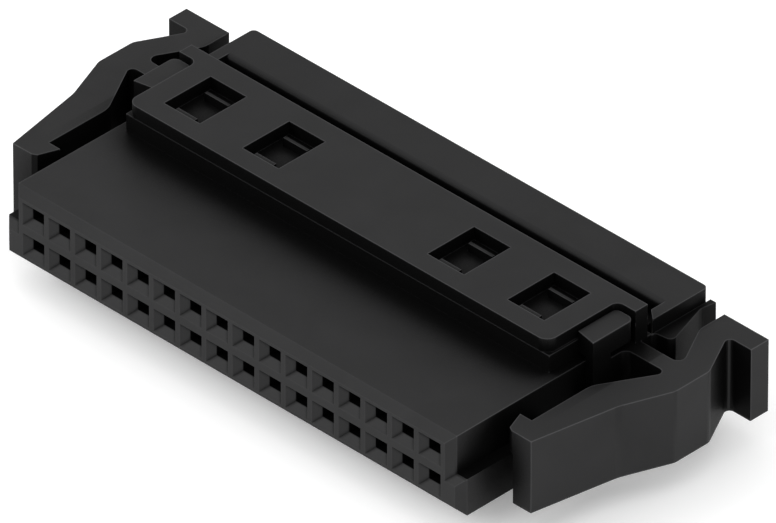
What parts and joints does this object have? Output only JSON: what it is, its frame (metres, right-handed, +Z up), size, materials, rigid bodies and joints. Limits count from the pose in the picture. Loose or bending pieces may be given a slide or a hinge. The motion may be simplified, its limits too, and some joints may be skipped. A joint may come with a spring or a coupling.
{
  "type": "ribbon cable connector",
  "caption": "Two-row insulation-displacement socket for ribbon cable, with a clip-on latch frame, finger-grip latch arms, a press-fit cable cover and fork contacts.",
  "frame": {"origin": "centre of the mating face, midway between the two rows and between the two middle columns", "axes": "+X along the rows of contacts, +Y from the mating face to the cable side, +Z up, away from the wider keyed half"},
  "size_m": [0.028, 0.0121, 0.0056],
  "materials": {
    "housing_plastic": "fine matte moulded black",
    "frame_plastic": "fine matte moulded black",
    "cover_plastic": "fine matte moulded black",
    "contact_metal": "tin-plated copper alloy"
  },
  "bodies": {
    "root": {"housing": "housing_plastic", "latch_frame": "frame_plastic", "cable_cover": "cover_plastic", "contact_a01": "contact_metal", "contact_a02": "contact_metal", "contact_a03": "contact_metal", "contact_a04": "contact_metal", "contact_a05": "contact_metal", "contact_a06": "contact_metal", "contact_a07": "contact_metal", "contact_a08": "contact_metal", "contact_a09": "contact_metal", "contact_a10": "contact_metal", "contact_a11": "contact_metal", "contact_a12": "contact_metal", "contact_a13": "contact_metal", "contact_a14": "contact_metal", "contact_a15": "contact_metal", "contact_a16": "contact_metal", "contact_b01": "contact_metal", "contact_b02": "contact_metal", "contact_b03": "contact_metal", "contact_b04": "contact_metal", "contact_b05": "contact_metal", "contact_b06": "contact_metal", "contact_b07": "contact_metal", "contact_b08": "contact_metal", "contact_b09": "contact_metal", "contact_b10": "contact_metal", "contact_b11": "contact_metal", "contact_b12": "contact_metal", "contact_b13": "contact_metal", "contact_b14": "contact_metal", "contact_b15": "contact_metal", "contact_b16": "contact_metal"}
  },
  "joints": []
}
